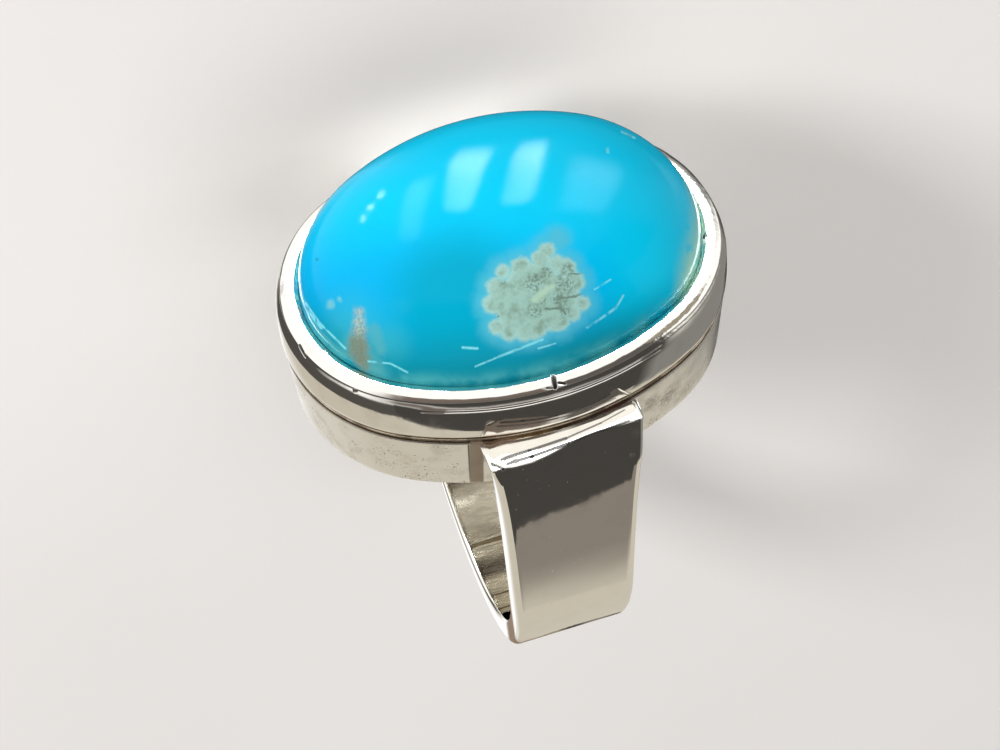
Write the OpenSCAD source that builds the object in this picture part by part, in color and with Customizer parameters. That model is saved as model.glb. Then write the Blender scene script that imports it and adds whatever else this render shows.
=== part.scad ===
// Silver ring with a high domed oval turquoise cabochon in a two-tier setting.
// The ring is drawn with the finger axis along X and the stone up, then laid on its side, on one flat leg.

/* [Finger hole and band] */
// Inside diameter of the band
finger_d = 18.0; // [15:0.1:23]
// Thickness of the band
band_t = 1.48; // [1:0.01:2.2]
// Width of the band where it meets the setting
band_w_top = 8.55; // [6:0.05:11]
// Width of the band at the back of the finger
band_w_back = 6.2; // [3:0.1:9]
// Extra width that the band gains in a curve close under the setting
band_flare = 0.9; // [0:0.05:1.5]
// Outward lean of each leg of the band, in degrees
leg_lean = 2.1; // [0:0.1:6]

/* [Oval head] */
// Length of the oval head along the finger
head_l = 24.2; // [16:0.1:32]
// Width of the oval head across the finger
head_w = 19.0; // [12:0.1:26]
// Radius of the oval's two end arcs
end_r = 8.58; // [4:0.01:9.4]

/* [Gallery, the lower wall] */
// Height of the gallery's lower edge above the finger's axis
gallery_z = 9.47; // [8:0.01:12]
// Height of the seam between the gallery and the bezel
seam_z = 13.6; // [11:0.05:16]
// Thickness of the gallery's wall
gallery_t = 0.95; // [0.6:0.05:1.6]
// How far the gallery's wall leans in at its lower edge
gallery_lean = 0.33; // [0:0.01:1]
// Depth of the groove that the seam leaves
groove_depth = 0.35; // [0.1:0.01:0.8]

/* [Bezel, the upper wall] */
// Height of the widest line of the bezel above the finger's axis
bezel_z = 15.9; // [13:0.05:19]
// Height of the lip's crown above the finger's axis
lip_z = 16.9; // [14:0.05:20]
// Width of the rolled lip, from the outside to its edge on the stone
lip_w = 1.27; // [0.8:0.01:2]
// Thickness of the bezel's wall
bezel_t = 0.92; // [0.6:0.01:1.4]
// Thickness of the back plate under the stone
plate_t = 1.0; // [0.6:0.05:1.6]

/* [Cabochon] */
// Height at which the stone comes out of the lip
stone_edge_z = 16.6; // [14:0.05:20]
// Height of the dome above that line
dome_h = 6.6; // [3:0.05:10]
// Gap between the stone and the silver
stone_gap = 0.08; // [0.02:0.01:0.2]

/* [Hidden] */
$fn = 96;
finger_r = finger_d/2;
outer_r = finger_r + band_t;
half_l = head_l/2;
half_w = head_w/2;
// Centres and radii of the four arcs that make the oval
end_c = half_l - end_r;
side_d = (end_c*end_c - (half_w - end_r)*(half_w - end_r))/(2*(half_w - end_r));
side_r = half_w + side_d;
end_a = atan2(side_d, end_c);
// The plate's top lies above the seam, and the stone's side stays upright above it
plate_rise = 0.4;
girdle_h = 1.0;
girdle_bevel = 0.2;
plate_top = seam_z + plate_rise;
girdle_z = plate_top + girdle_h;
// How far the plate reaches into the walls, and how far the two walls overlap in height and in depth
plate_in = 0.7;
wall_lap = 0.15;
wall_bite = 0.1;
bezel_foot = 0.3;
// The gallery stands out of the groove's bottom by a step, which slopes away under the groove
gallery_step = 0.21;
gallery_slope = 0.25;
// The bezel slopes out above the groove
bezel_slope = 0.35;
// The lip: steps of its curve, how much of a half turn it takes, how full it is, and its blunt inner edge
lip_steps = 8;
lip_turn = 0.93;
lip_fullness = 0.8;
lip_blunt = 0.04;
// The band: how late its flare starts, and how far its outline runs past it, above and below
flare_power = 7;
outline_steps = 22;
outline_over = 0.4;
outline_under = 1;
front_top = seam_z + outline_over;
front_low = -outer_r - outline_under;
// The band's ends: how far their tops lie under the seam, their bevel, and how they bite into the gallery
ledge_drop = 0.1;
ledge_bevel = 0.12;
foot_rise = 0.15;
foot_bite = 0.13;
// The tongue of a leg that is let into the arc: its thickness and how many degrees it goes down
tongue = band_t/3;
tongue_turn = 4;
// The stone's mesh: points along an end arc and along a side arc, and levels of the dome
end_points = 28;
side_points = 16;
dome_levels = 18;

// How far the gallery's upper and lower edges stand in from the bezel
gallery_in = -groove_depth + gallery_step;
gallery_in_low = gallery_in - gallery_lean;

// How far the top of the dome lies in front of the finger's axis, once the flat face of a leg lies level
dome_out = sqrt(pow((half_w - lip_w - stone_gap)*sin(leg_lean), 2) + pow(dome_h*cos(leg_lean), 2));
rest_front = stone_edge_z*cos(leg_lean) + dome_out;

// Which node to draw

// Lays the ring on its side, on the flat outer face of one leg, with the stone to the front.
module rest() {
    translate([0, (rest_front - outer_r)/2, outer_r])
        rotate([leg_lean - 90, 0, 180])
            children();
}

// Turns a wall section about the four centres of the oval.
// u is the distance from the outside face, negative inwards.
module around_oval(section) {
    for (s = [-1, 1]) {
        translate([s*end_c, 0, 0])
            rotate([0, 0, (s > 0 ? 0 : 180) - end_a])
                rotate_extrude(angle = 2*end_a)
                    polygon([for (p = section) [end_r + p[0], p[1]]]);
        translate([0, -s*side_d, 0])
            rotate([0, 0, (s > 0 ? 90 : 270) - (90 - end_a)])
                rotate_extrude(angle = 2*(90 - end_a))
                    polygon([for (p = section) [side_r + p[0], p[1]]]);
    }
}

// Fills the oval between two heights, drawn in by the distance u.
module oval_plate(u, low, high) {
    for (s = [-1, 1]) {
        translate([s*end_c, 0, 0])
            rotate([0, 0, (s > 0 ? 0 : 180) - end_a])
                rotate_extrude(angle = 2*end_a)
                    translate([0, low]) square([end_r + u, high - low]);
        translate([0, -s*side_d, 0])
            rotate([0, 0, (s > 0 ? 90 : 270) - (90 - end_a)])
                rotate_extrude(angle = 2*(90 - end_a))
                    translate([0, low]) square([side_r + u, high - low]);
    }
}

// Half of the band's width at a height above the finger's axis
function half_band(z) =
    let (s = (z + outer_r)/(seam_z + outer_r))
    band_w_back/2 + (band_w_top - band_flare - band_w_back)/2*s + band_flare/2*pow(max(s, 0), flare_power);

// Distance of a leg's face from the middle, for the face that starts at radius r
function leg_y(r, z) = (r + z*sin(leg_lean))/cos(leg_lean);

// A point at radius r where a leg leaves the arc, or some degrees further down inside the arc
function leg_foot(r, down) = [r*cos(leg_lean + down), -r*sin(leg_lean + down)];

// Outline of the band seen from the front, narrow at the back of the finger
module band_outline() {
    n = outline_steps;
    side = [for (i = [0 : n]) front_low + (front_top - front_low)*i/n];
    polygon(concat(
        [for (z = side) [half_band(max(z, -outer_r)), z]],
        [for (i = [0 : n]) let (z = side[n - i]) [-half_band(max(z, -outer_r)), z]]));
}

// The band: an arc round the finger and two legs that run up outside the gallery to the seam
module shank() {
    arc = 90 - leg_lean;
    top = seam_z - ledge_drop;
    foot = gallery_z + foot_rise;
    inner = half_w - gallery_t - foot_bite;
    intersection() {
        for (s = [0, 1]) mirror([0, s, 0]) {
            rotate([0, 90, 0])
                rotate_extrude(angle = arc)
                    translate([finger_r, -band_w_top]) square([band_t, 2*band_w_top]);
            translate([-band_w_top, 0, 0]) rotate([90, 0, 90])
                linear_extrude(2*band_w_top)
                    polygon([
                        leg_foot(finger_r, 0),
                        leg_foot(finger_r + tongue, 0),
                        leg_foot(finger_r + tongue, tongue_turn),
                        leg_foot(outer_r - tongue, tongue_turn),
                        leg_foot(outer_r - tongue, 0),
                        leg_foot(outer_r, 0),
                        [leg_y(outer_r, top - ledge_bevel), top - ledge_bevel],
                        [leg_y(outer_r, top) - ledge_bevel, top],
                        [inner, top],
                        [inner, foot],
                        [leg_y(finger_r, foot), foot]]);
        }
        translate([0, head_w, 0]) rotate([90, 0, 0]) linear_extrude(2*head_w) band_outline();
    }
}

// The lower wall of the setting, an open collar
module gallery() {
    around_oval([
        [-groove_depth - wall_bite, seam_z + wall_lap],
        [gallery_in, seam_z - gallery_slope],
        [gallery_in_low, gallery_z],
        [gallery_in_low - gallery_t, gallery_z],
        [gallery_in - gallery_t, seam_z + wall_lap]]);
}

// The plate that closes the setting under the stone
module back_plate() {
    oval_plate(-plate_in, plate_top - plate_t, plate_top);
}

// The upper wall, rolled over the stone's edge
module bezel() {
    roll = [for (i = [0 : lip_steps])
        let (a = 180*i/lip_steps*lip_turn)
        [-lip_w/2 + lip_w/2*cos(a), bezel_z + (lip_z - bezel_z)*pow(sin(a), lip_fullness)]];
    crown = [for (p = roll) if (p[0] > -lip_w + lip_blunt)
        [p[0], max(p[1], p[0] < -lip_w/2 ? stone_edge_z : bezel_z)]];
    around_oval(concat(
        [[-groove_depth - 2*wall_bite, seam_z - wall_bite],
         [-groove_depth, seam_z],
         [0, seam_z + bezel_slope]],
        crown,
        [[-lip_w, stone_edge_z],
         [-bezel_t, girdle_z],
         [-bezel_t, plate_top - bezel_foot]]));
}

// Everything that is soldered into one piece of silver
module silver_mount() {
    color([0.78, 0.77, 0.74]) rest() union() {
        shank();
        gallery();
        back_plate();
        bezel();
    }
}

// Points of one level of the stone: the oval drawn in by u, then scaled by k
function oval_ring(u, k, z, ne, ns) = concat(
    [for (i = [0 : ne - 1]) let (a = -end_a + 2*end_a*i/ne)
        [k*(end_c + (end_r + u)*cos(a)), k*(end_r + u)*sin(a), z]],
    [for (i = [0 : ns - 1]) let (a = end_a + 2*(90 - end_a)*i/ns)
        [k*(side_r + u)*cos(a), k*(-side_d + (side_r + u)*sin(a)), z]],
    [for (i = [0 : ne - 1]) let (a = 180 - end_a + 2*end_a*i/ne)
        [k*(-end_c + (end_r + u)*cos(a)), k*(end_r + u)*sin(a), z]],
    [for (i = [0 : ns - 1]) let (a = 180 + end_a + 2*(90 - end_a)*i/ns)
        [k*(side_r + u)*cos(a), k*(side_d + (side_r + u)*sin(a)), z]]);

// The turquoise: a low girdle that the bezel grips, under a high oval dome
module cabochon() {
    ne = end_points;
    ns = side_points;
    n = 2*(ne + ns);
    u_edge = -lip_w - stone_gap;
    u_girdle = -bezel_t - stone_gap;
    rings = concat(
        [oval_ring(u_girdle - girdle_bevel, 1, plate_top + stone_gap, ne, ns)],
        [oval_ring(u_girdle, 1, plate_top + stone_gap + girdle_bevel, ne, ns)],
        [oval_ring(u_girdle, 1, girdle_z, ne, ns)],
        [for (j = [0 : dome_levels - 1]) let (a = 90*j/dome_levels)
            oval_ring(u_edge, cos(a), stone_edge_z + dome_h*sin(a), ne, ns)]);
    m = len(rings);
    points = concat([for (r = rings) each r], [[0, 0, stone_edge_z + dome_h]]);
    faces = concat(
        [[for (i = [0 : n - 1]) i]],
        [for (j = [0 : m - 2], i = [0 : n - 1])
            let (b = (i + 1)%n)
            [j*n + i, (j + 1)*n + i, (j + 1)*n + b, j*n + b]],
        [for (i = [0 : n - 1]) [(m - 1)*n + i, m*n, (m - 1)*n + (i + 1)%n]]);
    color([0.02, 0.68, 0.86]) rest() polyhedron(points = points, faces = faces, convexity = 2);
}

silver_mount();
cabochon();
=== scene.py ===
"""Silver ring with a high domed turquoise, lying on its side on a pale floor.

Every size is in millimetres in the ring's own frame: the finger axis is X, the near leg of the band is at
-Y and the stone is up, at +Z. RestPose lays that frame on the floor, on the far leg, and turns it to metres.
"""

import logging
import math
from collections.abc import Sequence
from dataclasses import KW_ONLY, dataclass
from enum import Enum

import bpy
from mathutils import Matrix, Vector, noise


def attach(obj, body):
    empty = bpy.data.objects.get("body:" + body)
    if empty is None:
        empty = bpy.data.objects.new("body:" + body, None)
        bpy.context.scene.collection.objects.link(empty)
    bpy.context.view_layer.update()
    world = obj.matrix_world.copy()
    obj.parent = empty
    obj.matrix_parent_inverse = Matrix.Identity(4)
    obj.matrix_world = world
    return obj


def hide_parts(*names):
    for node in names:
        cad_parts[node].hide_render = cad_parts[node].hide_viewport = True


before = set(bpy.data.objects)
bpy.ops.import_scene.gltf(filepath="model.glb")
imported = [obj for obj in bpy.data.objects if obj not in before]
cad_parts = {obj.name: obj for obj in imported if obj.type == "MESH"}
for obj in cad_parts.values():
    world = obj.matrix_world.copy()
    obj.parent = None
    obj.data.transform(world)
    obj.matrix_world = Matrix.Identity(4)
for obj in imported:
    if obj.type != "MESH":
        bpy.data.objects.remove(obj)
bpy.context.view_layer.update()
LOG = logging.getLogger("ring")
MM = 0.001
Tree = bpy.types.NodeTree
Socket = bpy.types.NodeSocket
Material = bpy.types.Material
Mesh = bpy.types.Mesh
Thing = bpy.types.Object
Point2 = tuple[float, float]
Point3 = tuple[float, float, float]
Four = tuple[float, float, float, float]
Part = Socket | float | tuple[Socket, float, float]


class Node(Enum):
    """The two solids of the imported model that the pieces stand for."""

    MOUNT = "silver_mount"
    STONE = "cabochon"


class Slot(Enum):
    """The record's two finishes."""

    SILVER = "silver"
    TURQUOISE = "turquoise"


# Frames and colours


def paint(code: str) -> Four:
    """Turns an sRGB hex colour such as #00B4E6 into linear red, green, blue and alpha."""
    parts = [int(code[i : i + 2], 16) / 255 for i in (1, 3, 5)]
    return (*[c / 12.92 if c <= 0.04045 else ((c + 0.055) / 1.055) ** 2.4 for c in parts], 1.0)


def way(azimuth: float, elevation: float) -> Vector:
    """Unit vector of a direction in degrees; azimuth 0 is the near leg's side and 90 is +X."""
    a, e = math.radians(azimuth), math.radians(elevation)
    return Vector((math.sin(a) * math.cos(e), -math.cos(a) * math.cos(e), math.sin(e)))


def put(name: str, data: bpy.types.ID) -> Thing:
    """Makes an object in the scene.

    Args:
        name: its name.
        data: its mesh, camera or lamp.

    Returns:
        The object.
    """
    thing = bpy.data.objects.new(name, data)
    bpy.context.scene.collection.objects.link(thing)
    return thing


@dataclass(frozen=True)
class RestPose:
    """How the ring lies: on the flat outer face of its far leg. The sizes repeat those of the source."""

    leg_lean: float = 2.1
    outer_radius: float = 10.48
    dome_base: float = 16.6
    dome_height: float = 6.6
    dome_half_width: float = 8.15

    def lean(self) -> Point2:
        """Sine and cosine of the leg's lean."""
        return math.sin(math.radians(self.leg_lean)), math.cos(math.radians(self.leg_lean))

    def rotation(self) -> Matrix:
        """Turns directions from the ring's frame to the row's frame."""
        s, c = self.lean()
        return Matrix(((-1, 0, 0), (0, -s, -c), (0, -c, s)))

    def offset(self) -> Vector:
        """Where the ring's origin lies in the row's frame, in mm."""
        s, c = self.lean()
        front = self.dome_base * c + math.hypot(self.dome_half_width * s, self.dome_height * c)
        return Vector((0, (front - self.outer_radius) / 2, self.outer_radius))

    def matrix(self) -> Matrix:
        """Takes ring millimetres to row metres."""
        return Matrix.Scale(MM, 4) @ Matrix.Translation(self.offset()) @ self.rotation().to_4x4()


POSE = RestPose()


@dataclass(frozen=True)
class PhotoView:
    """The photograph's camera, given in the ring's frame."""

    azimuth: float = 14.968
    elevation: float = 51.348
    roll: float = -4.463
    focal_px: float = 3264.1
    distance: float = 176.0
    shift_right: float = -0.499
    shift_up: float = -1.909
    aim_height: float = 9.9
    frame_px: float = 1000.0
    sensor: float = 36.0

    def level_axes(self) -> tuple[Vector, Vector, Vector]:
        """Right, up and the way to the camera, without the picture's roll."""
        a = math.radians(self.azimuth)
        back = way(-self.azimuth, self.elevation)
        right = Vector((math.cos(a), -math.sin(a), 0))
        return right, back.cross(right), back

    def axes(self) -> tuple[Vector, Vector, Vector]:
        """Picture right, picture up and the way to the camera."""
        right, up, back = self.level_axes()
        t = math.radians(self.roll)
        return right * math.cos(t) + up * math.sin(t), up * math.cos(t) - right * math.sin(t), back

    def build(self) -> Thing:
        """Makes the camera and gives it to the scene."""
        right, up, back = self.level_axes()
        aim = right * self.shift_right + up * self.shift_up + Vector((0, 0, self.aim_height))
        data = bpy.data.cameras.new("photo_camera")
        data.sensor_width = self.sensor
        data.lens = self.focal_px / self.frame_px * self.sensor
        data.clip_start, data.clip_end = 0.01, 20
        camera = put("photo_camera", data)
        basis = Matrix([POSE.rotation() @ axis for axis in self.axes()]).transposed()
        place = POSE.matrix() @ (aim + back * self.distance)
        camera.matrix_world = Matrix.Translation(place) @ basis.to_4x4()
        bpy.context.scene.camera = camera
        return camera


VIEW = PhotoView()


# Nodes


class Net:
    """A node tree under construction. Every place and size in it is in mm."""

    def __init__(self, tree: Tree) -> None:
        """Empties the tree."""
        tree.nodes.clear()
        self.tree = tree

    def feed(self, node: bpy.types.Node, values: dict) -> None:
        """Gives a node's inputs their values or links.

        Args:
            node: the node.
            values: value or socket by the input's name or number; None leaves an input as it is.
        """
        for key, value in values.items():
            if isinstance(value, Socket):
                self.tree.links.new(value, node.inputs[key])
            elif value is not None:
                node.inputs[key].default_value = value

    def add(self, kind: str, *values, out: int | str = 0, inputs: dict | None = None, **settings) -> Socket:
        """Adds one node with its settings and its links.

        Args:
            kind: the node's type without ShaderNode, and its operation behind a space.
            *values: value or socket for each input, from the first one on.
            out: the output that is wanted, by name or number.
            inputs: value or socket for other inputs, by name or number.
            **settings: the node's own properties.

        Returns:
            The wanted output, or the node's first input where it has no output.
        """
        kind, _, operation = kind.partition(" ")
        node = self.tree.nodes.new(kind if "Node" in kind else "ShaderNode" + kind)
        if operation:
            settings["operation"] = operation
        for key, value in settings.items():
            setattr(node, key, value)
        self.feed(node, dict(enumerate(values)) | (inputs or {}))
        return node.outputs[out] if len(node.outputs) else node.inputs[0]

    def mask(self, *parts: Part, join: str = "MULTIPLY") -> Socket:
        """Joins several factors from 0 to 1.

        Args:
            *parts: factors, or values with the limits at which their factor is 1 and 0.
            join: MULTIPLY for the product, MAXIMUM for the largest.

        Returns:
            The one factor.
        """
        result = None
        for part in parts:
            if isinstance(part, tuple):
                value, full, none = part
                part = self.add("MapRange", value, none, full, interpolation_type="SMOOTHSTEP")
            result = part if result is None else self.add("Math " + join, result, part)
        return result

    def layers(self, base: Socket | str | Four, *coats: tuple[Socket | str, Socket]) -> Socket:
        """Colours laid over each other.

        Args:
            base: the lowest colour, as a socket, linear values or sRGB hex.
            *coats: colour and factor of each further one.

        Returns:
            The colour that is seen.
        """
        result = paint(base) if isinstance(base, str) else base
        for colour, factor in coats:
            top = paint(colour) if isinstance(colour, str) else colour
            result = self.add("Mix", factor, out=2, inputs={6: result, 7: top}, data_type="RGBA")
        return result

    def object_place(self) -> Socket:
        """Place on the object, in the row's frame."""
        return self.add("Mapping", self.add("TexCoord", out="Object"), inputs={"Scale": (1 / MM,) * 3})

    def grain(self, place: Socket, size: float | Point3, detail: float, seed: float) -> Socket:
        """Noise from 0 to 1 whose grains have a real size.

        Args:
            place: the place.
            size: the grain's size, the same each way or one for each axis.
            detail: octaves of finer noise.
            seed: chooses another part of the noise.

        Returns:
            The noise.
        """
        sizes = size if isinstance(size, tuple) else (size,) * 3
        scaled = self.add("Mapping", place, inputs={"Scale": tuple(1 / s for s in sizes)})
        return self.add("TexNoise", scaled, seed, 1.0, detail, noise_dimensions="4D")

    def spot(self, place: Socket, centre: Point3, radius: float, soft: float) -> Socket:
        """1 in a ball of this radius, fading to 0 over a soft edge of that width."""
        away = self.add("VectorMath DISTANCE", place, centre, out=1)
        return self.mask((away, radius, radius + soft))

    def stroke(self, place: Socket, start: Point2 | Point3, end: Point2 | Point3, width: float,
               soft: float) -> Socket:
        """1 on a straight line, fading to 0 beside it.

        Args:
            place: the place, without depth where the ends have two numbers.
            start: one end.
            end: the other end.
            width: half of the line's full width.
            soft: width of its fading edge.

        Returns:
            The factor.
        """
        first = Vector(start).to_3d()
        along = Vector(end).to_3d() - first
        rel = self.add("VectorMath SUBTRACT", place, first)
        part = self.add("VectorMath DOT_PRODUCT", rel, along / along.length_squared, out=1)
        part = self.add("Math ADD", part, 0.0, use_clamp=True)
        foot = self.add("VectorMath SCALE", along, inputs={"Scale": part})
        away = self.add("VectorMath DISTANCE", rel, foot, out=1)
        return self.mask((away, width, width + soft))


class Skin(Net):
    """A material under construction, with its colour, roughness and normal so far."""

    def __init__(self, name: str, colour: str, rough: float) -> None:
        """Starts with one colour and one roughness."""
        self.material = bpy.data.materials.new(name)
        self.material.use_nodes = True
        super().__init__(self.material.node_tree)
        self.shader = self.add("BsdfPrincipled").node
        self.add("OutputMaterial", self.shader.outputs[0])
        self.colour, self.rough, self.normal = paint(colour), rough, None

    def ring_place(self) -> Socket:
        """Place on the object, turned back to the ring's own frame."""
        turn = POSE.rotation().transposed()
        source = self.add("TexCoord", out="Object")
        return self.add("Mapping", source, -(turn @ POSE.offset()), turn.to_euler(), (1 / MM,) * 3)

    def coat(self, colour: Socket | str, *parts: Part) -> Socket:
        """Lays a colour over the others.

        Args:
            colour: the colour, as a socket or as sRGB hex.
            *parts: where it lies, as for a mask.

        Returns:
            The mask.
        """
        where = self.mask(*parts)
        self.colour = self.layers(self.colour, (colour, where))
        return where

    def roughen(self, where: Socket, amount: float) -> None:
        """Adds to the roughness where a mask is."""
        self.rough = self.add("Math MULTIPLY_ADD", where, amount, self.rough)

    def raise_by(self, height: Socket, depth: float) -> None:
        """Adds a bump whose height from 0 to 1 has a depth."""
        self.normal = self.add("Bump", inputs={
            "Height": height, "Distance": depth * MM, "Strength": 1.0, "Normal": self.normal})

    def sink(self, where: Socket, depth: float) -> None:
        """Adds a hollow where a mask is."""
        self.raise_by(self.add("Math SUBTRACT", 1.0, where), depth)

    def finish(self, **values: float) -> Material:
        """Gives the shader what was made and its uniform values, whose names have _ for a space."""
        made = {"Base Color": self.colour, "Roughness": self.rough, "Normal": self.normal}
        self.feed(self.shader, made | {key.replace("_", " "): value for key, value in values.items()})
        return self.material


# The oval


@dataclass(frozen=True)
class OvalPath:
    """The oval of the setting: two end arcs and two flatter side arcs that meet smoothly."""

    half_length: float = 12.1
    half_width: float = 9.5
    end_radius: float = 8.58

    def arcs(self) -> Four:
        """Offset of the end centres, offset of the side centres, side radius and half angle of the ends."""
        end_c = self.half_length - self.end_radius
        rise = self.half_width - self.end_radius
        side_d = (end_c * end_c - rise * rise) / (2 * rise)
        return end_c, side_d, self.half_width + side_d, math.atan2(side_d, end_c)

    def point(self, share: float, inset: float = 0.0) -> Point2:
        """A point of the oval.

        Args:
            share: its share of the way round, turning left from the middle of the far side.
            inset: distance from the outside face, negative inwards.

        Returns:
            The point's place along and across the finger.
        """
        end_c, side_d, side_r, end_a = self.arcs()
        half_side = side_r * (math.pi / 2 - end_a)
        quarter = half_side + self.end_radius * end_a
        s = (share % 1.0) * 4 * quarter
        leg, rest = int(s // quarter), s % quarter
        along = rest if leg % 2 == 0 else quarter - rest
        if along <= half_side:
            angle = along / side_r
            x, y = (side_r + inset) * math.sin(angle), (side_r + inset) * math.cos(angle) - side_d
        else:
            angle = math.pi / 2 - end_a + (along - half_side) / self.end_radius
            x = end_c + (self.end_radius + inset) * math.sin(angle)
            y = (self.end_radius + inset) * math.cos(angle)
        signs = ((-1, 1), (-1, -1), (1, -1), (1, 1))[leg]
        return signs[0] * x, signs[1] * y

    def points(self, count: int, inset: float = 0.0) -> list[Point2]:
        """Evenly spaced points of the whole oval."""
        return [self.point(i / count, inset) for i in range(count)]


OVAL = OvalPath()


# Finishes


@dataclass(frozen=True)
class Stain:
    """A dirty, dull or chipped place on the silver: a ball, or a line from its centre to its end."""

    colour: str
    strength: float
    radius: float
    soft: float
    centre: Point3
    end: Point3 | None = None
    depth: float = 0.0
    patchy: bool = False


@dataclass(frozen=True)
class SeamDirt:
    """Brown dirt that lies on the ledge against the seam, between two places along the finger."""

    colour: str
    strength: float
    start: float
    end: float
    reach: float
    soft: float


def trail(start: Point3, *stretches: tuple[Point3, str, float], strength: float = 0.9,
          soft: float = 0.05) -> list[Stain]:
    """A line whose stretches have an end, a colour and a half width each."""
    starts = [start, *[end for end, _, _ in stretches]]
    return [Stain(colour, strength, radius, soft, a, b) for a, (b, colour, radius) in zip(starts, stretches)]


@dataclass(frozen=True)
class SilverFinish:
    """Sterling silver that was sawn, soldered, filed and polished by hand, then worn.

    Polished silver is the brightest metal, a little warm. Hand filing leaves it gently wavy, so that what it
    reflects has uneven edges, and wear adds hair scratches, short nicks, pits and brown dirt in the corners.
    """

    name: str
    colour: str = "#F6F3EC"
    roughness: float = 0.06
    dull_roughness: float = 0.14
    wave_size: float = 2.2
    wave_depth: float = 0.0012
    tick_size: float = 0.3
    tick_depth: float = 0.00012
    brush: Point3 = (1.2, 1.2, 0.05)
    brush_depth: float = 0.00012
    nick_share: float = 0.0
    pit_size: float = 0.14
    pit_share: float = 0.0
    haze: str = "#D9D2C2"
    haze_share: float = 0.2
    dirt_above: float = 0.0
    hammered: float = 0.0
    stains: tuple[Stain, ...] = ()
    seam_dirt: tuple[SeamDirt, ...] = ()

    def soil(self, skin: Skin, ring: Socket) -> None:
        """Lays the stains and the seam's dirt on the metal; dirt and solder are rougher than polish.

        Args:
            skin: the material.
            ring: place in the ring's frame.
        """
        patches = skin.mask((skin.grain(ring, 0.22, 4.0, 11.0), 0.6, 0.34))
        x, y, z = skin.add("SeparateXYZ", ring).node.outputs
        coats = []
        if self.dirt_above:
            coats.append(("#5C4A38", [(z, self.dirt_above + 0.03, self.dirt_above - 0.03)]))
        for stain in self.stains:
            if stain.end:
                where = skin.stroke(ring, stain.centre, stain.end, stain.radius, stain.soft)
            else:
                where = skin.spot(ring, stain.centre, stain.radius, stain.soft)
            if stain.depth:
                skin.sink(skin.mask(where, stain.depth), 1.0)
            coats.append((stain.colour, [where, *([patches] if stain.patchy else []), stain.strength]))
        if self.seam_dirt:
            _, side_d, side_r, _ = OVAL.arcs()
            flat = skin.add("VectorMath MULTIPLY", ring, (1, 1, 0))
            out = skin.add("VectorMath DISTANCE", flat, (0, side_d, 0), out=1)
            wavy = skin.add("Math MULTIPLY_ADD", skin.grain(ring, 0.35, 3.0, 12.0), -0.22, out)
            for dirty in self.seam_dirt:
                edge = side_r - 0.11 + dirty.reach
                coats.append((dirty.colour, [
                    (wavy, edge, edge + dirty.soft), (x, dirty.start + 0.4, dirty.start - 0.4),
                    (x, dirty.end - 0.4, dirty.end + 0.4), (y, -8.0, -7.0), dirty.strength]))
        for colour, parts in coats:
            skin.roughen(skin.coat(colour, *parts), 0.35)

    def build(self) -> Material:
        """Makes the material."""
        skin = Skin(self.name, self.colour, self.roughness)
        ring = skin.ring_place()
        cloud = skin.mask((skin.grain(ring, 1.1, 4.0, 3.0), 0.68, 0.45))
        hair = skin.grain(ring, self.brush, 3.0, 7.0)
        skin.coat(self.haze, cloud, self.haze_share)
        skin.rough = skin.add("MapRange", cloud, None, None, self.roughness, self.dull_roughness)
        skin.roughen(hair, 0.012)
        skin.raise_by(skin.grain(ring, self.wave_size, 1.0, 1.0), self.wave_depth)
        skin.raise_by(skin.grain(ring, self.tick_size, 2.0, 2.0), self.tick_depth)
        skin.raise_by(hair, self.brush_depth)
        if self.hammered > 0:
            x, _, z = skin.add("SeparateXYZ", ring).node.outputs
            lump = skin.grain(ring, (0.5, 0.4, 0.5), 4.0, 13.0)
            skin.raise_by(skin.mask(lump, skin.mask((x, 6.5, 3.0), (z, 16.3, 16.15))), self.hammered)
        if self.stains or self.seam_dirt or self.dirt_above:
            self.soil(skin, ring)
        if self.nick_share > 0:
            edge = 0.78 - 0.14 * self.nick_share
            skin.sink(skin.mask((skin.grain(ring, (0.06, 0.06, 0.34), 1.0, 15.0), edge + 0.03, edge)), 0.008)
        if self.pit_share > 0:
            edge = 0.76 - 0.12 * self.pit_share
            speck = skin.grain(ring, self.pit_size, 1.0, 5.0)
            pit = skin.mask((speck, edge, edge - 0.05), (skin.grain(ring, 1.5, 2.0, 6.0), 0.6, 0.46))
            skin.coat("#6A5A48", pit, 0.8)
            skin.roughen(pit, 0.3)
            skin.sink(pit, 0.012)
        return skin.finish(Metallic=1.0)


WHITE, DARK, DIRT = "#F6F3EC", "#3E3B39", "#5F5C59"

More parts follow.
